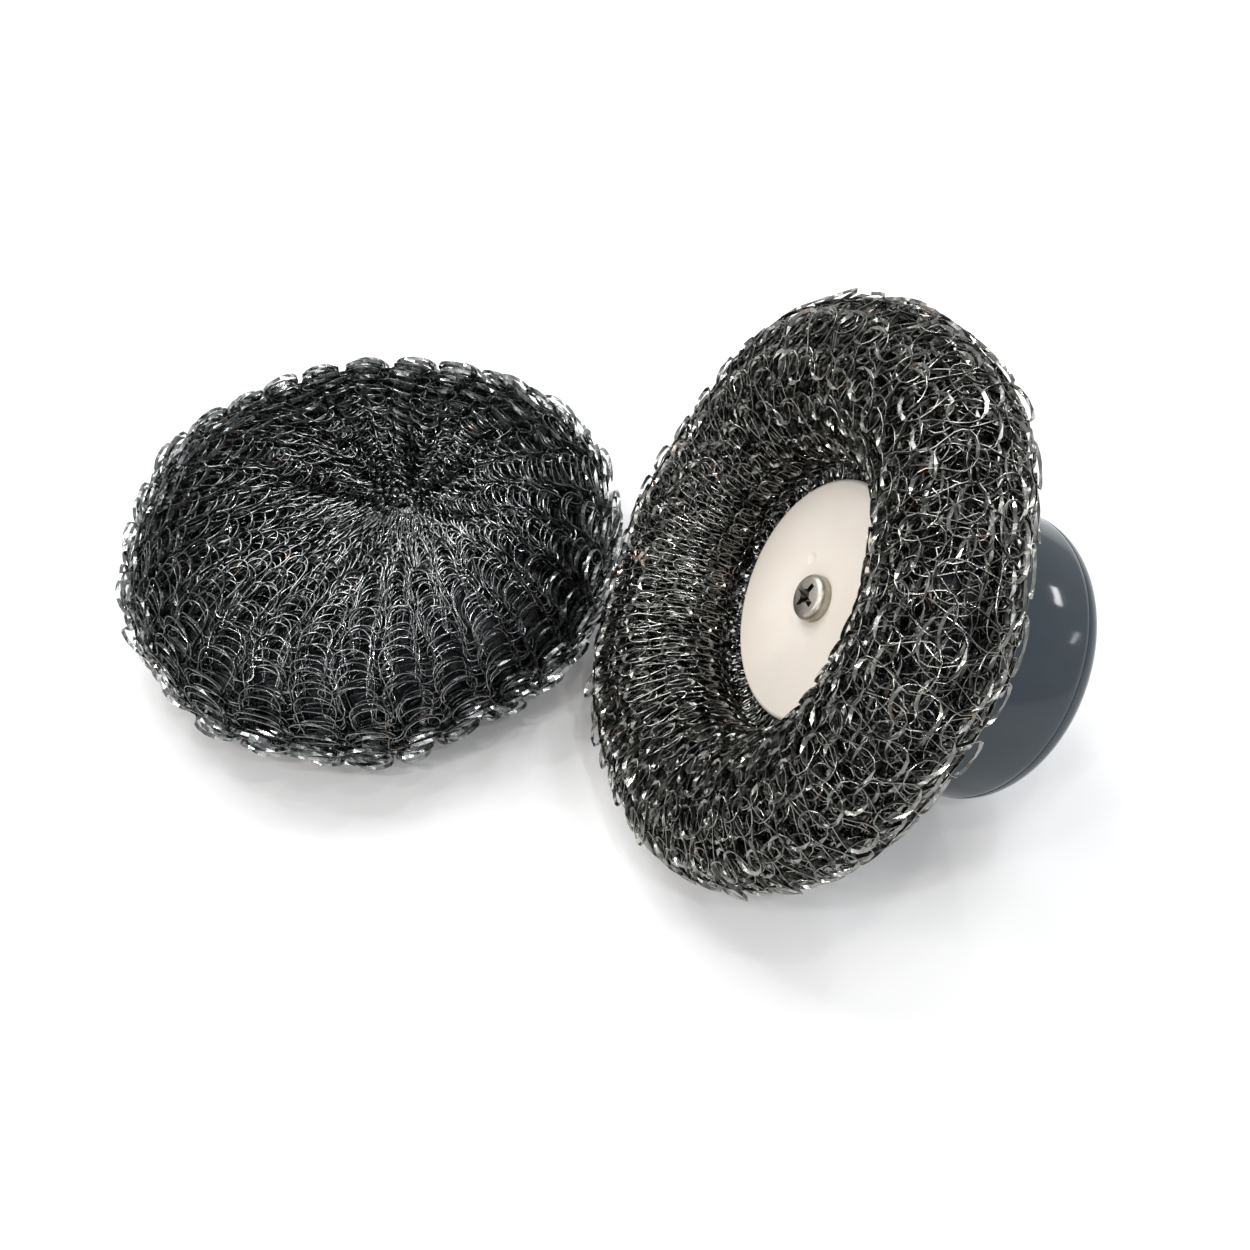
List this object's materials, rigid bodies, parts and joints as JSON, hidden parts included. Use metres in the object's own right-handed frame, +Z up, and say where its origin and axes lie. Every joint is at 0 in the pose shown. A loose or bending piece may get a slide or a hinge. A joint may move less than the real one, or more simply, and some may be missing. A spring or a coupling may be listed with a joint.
{
  "type": "pot scourer set",
  "caption": "Knitted steel scourer pad clamped by a disc and screw to a round knob handle, with a bare refill pad beside it.",
  "frame": {"origin": "bottom centre of the box around both items, on the surface they lie on", "axes": "+Z up, +X along the set from the refill pad to the handled scourer, +Y away from the side that the scourer's face looks towards"},
  "size_m": [0.1734, 0.1317, 0.0903],
  "materials": {
    "slate_plastic": "moulded, glossy",
    "white_plastic": "moulded, satin",
    "nickel_screw": "nickel plated",
    "knit_steel": "flat stainless wire, knitted",
    "refill_steel": "flat stainless wire, knitted",
    "tie_wire": "plain wire"
  },
  "bodies": {
    "handle": {"knob_body": "slate_plastic", "knob_end_cap": "slate_plastic"},
    "retainer": {"retaining_disc": "white_plastic"},
    "screw": {"retaining_screw": "nickel_screw"},
    "fitted_pad": {"fitted_pad_outer_turn": "knit_steel", "fitted_pad_rolled_core": "knit_steel", "fitted_pad_tie_wire": "tie_wire"},
    "refill_pad": {"refill_pad_outer_turn": "refill_steel", "refill_pad_rolled_core": "refill_steel", "refill_pad_tie_wire": "tie_wire"}
  },
  "joints": [
    {"name": "retainer_travel", "type": "slide", "parent": "handle", "child": "retainer", "axis": [-0.8142, -0.1509, 0.5606], "range_m": [0, 0.012]},
    {"name": "screw_turn", "type": "hinge", "parent": "retainer", "child": "screw", "pos_m": [0.0365, -0.0166, 0.04515], "axis": [-0.8142, -0.1509, 0.5606], "range_deg": [0, 3060]},
    {"name": "pad_release", "type": "slide", "parent": "handle", "child": "fitted_pad", "axis": [-0.8142, -0.1509, 0.5606], "range_m": [0, 0.0004]},
    {"name": "refill_lift", "type": "slide", "parent": "handle", "child": "refill_pad", "axis": [0, 0, 1], "range_m": [0, 0.06]}
  ],
  "couplings": [
    {"joint": "screw_turn", "follows": "retainer_travel", "rad_per_m": 4450.5},
    {"joint": "pad_release", "follows": "retainer_travel", "ratio": 0.0333}
  ]
}
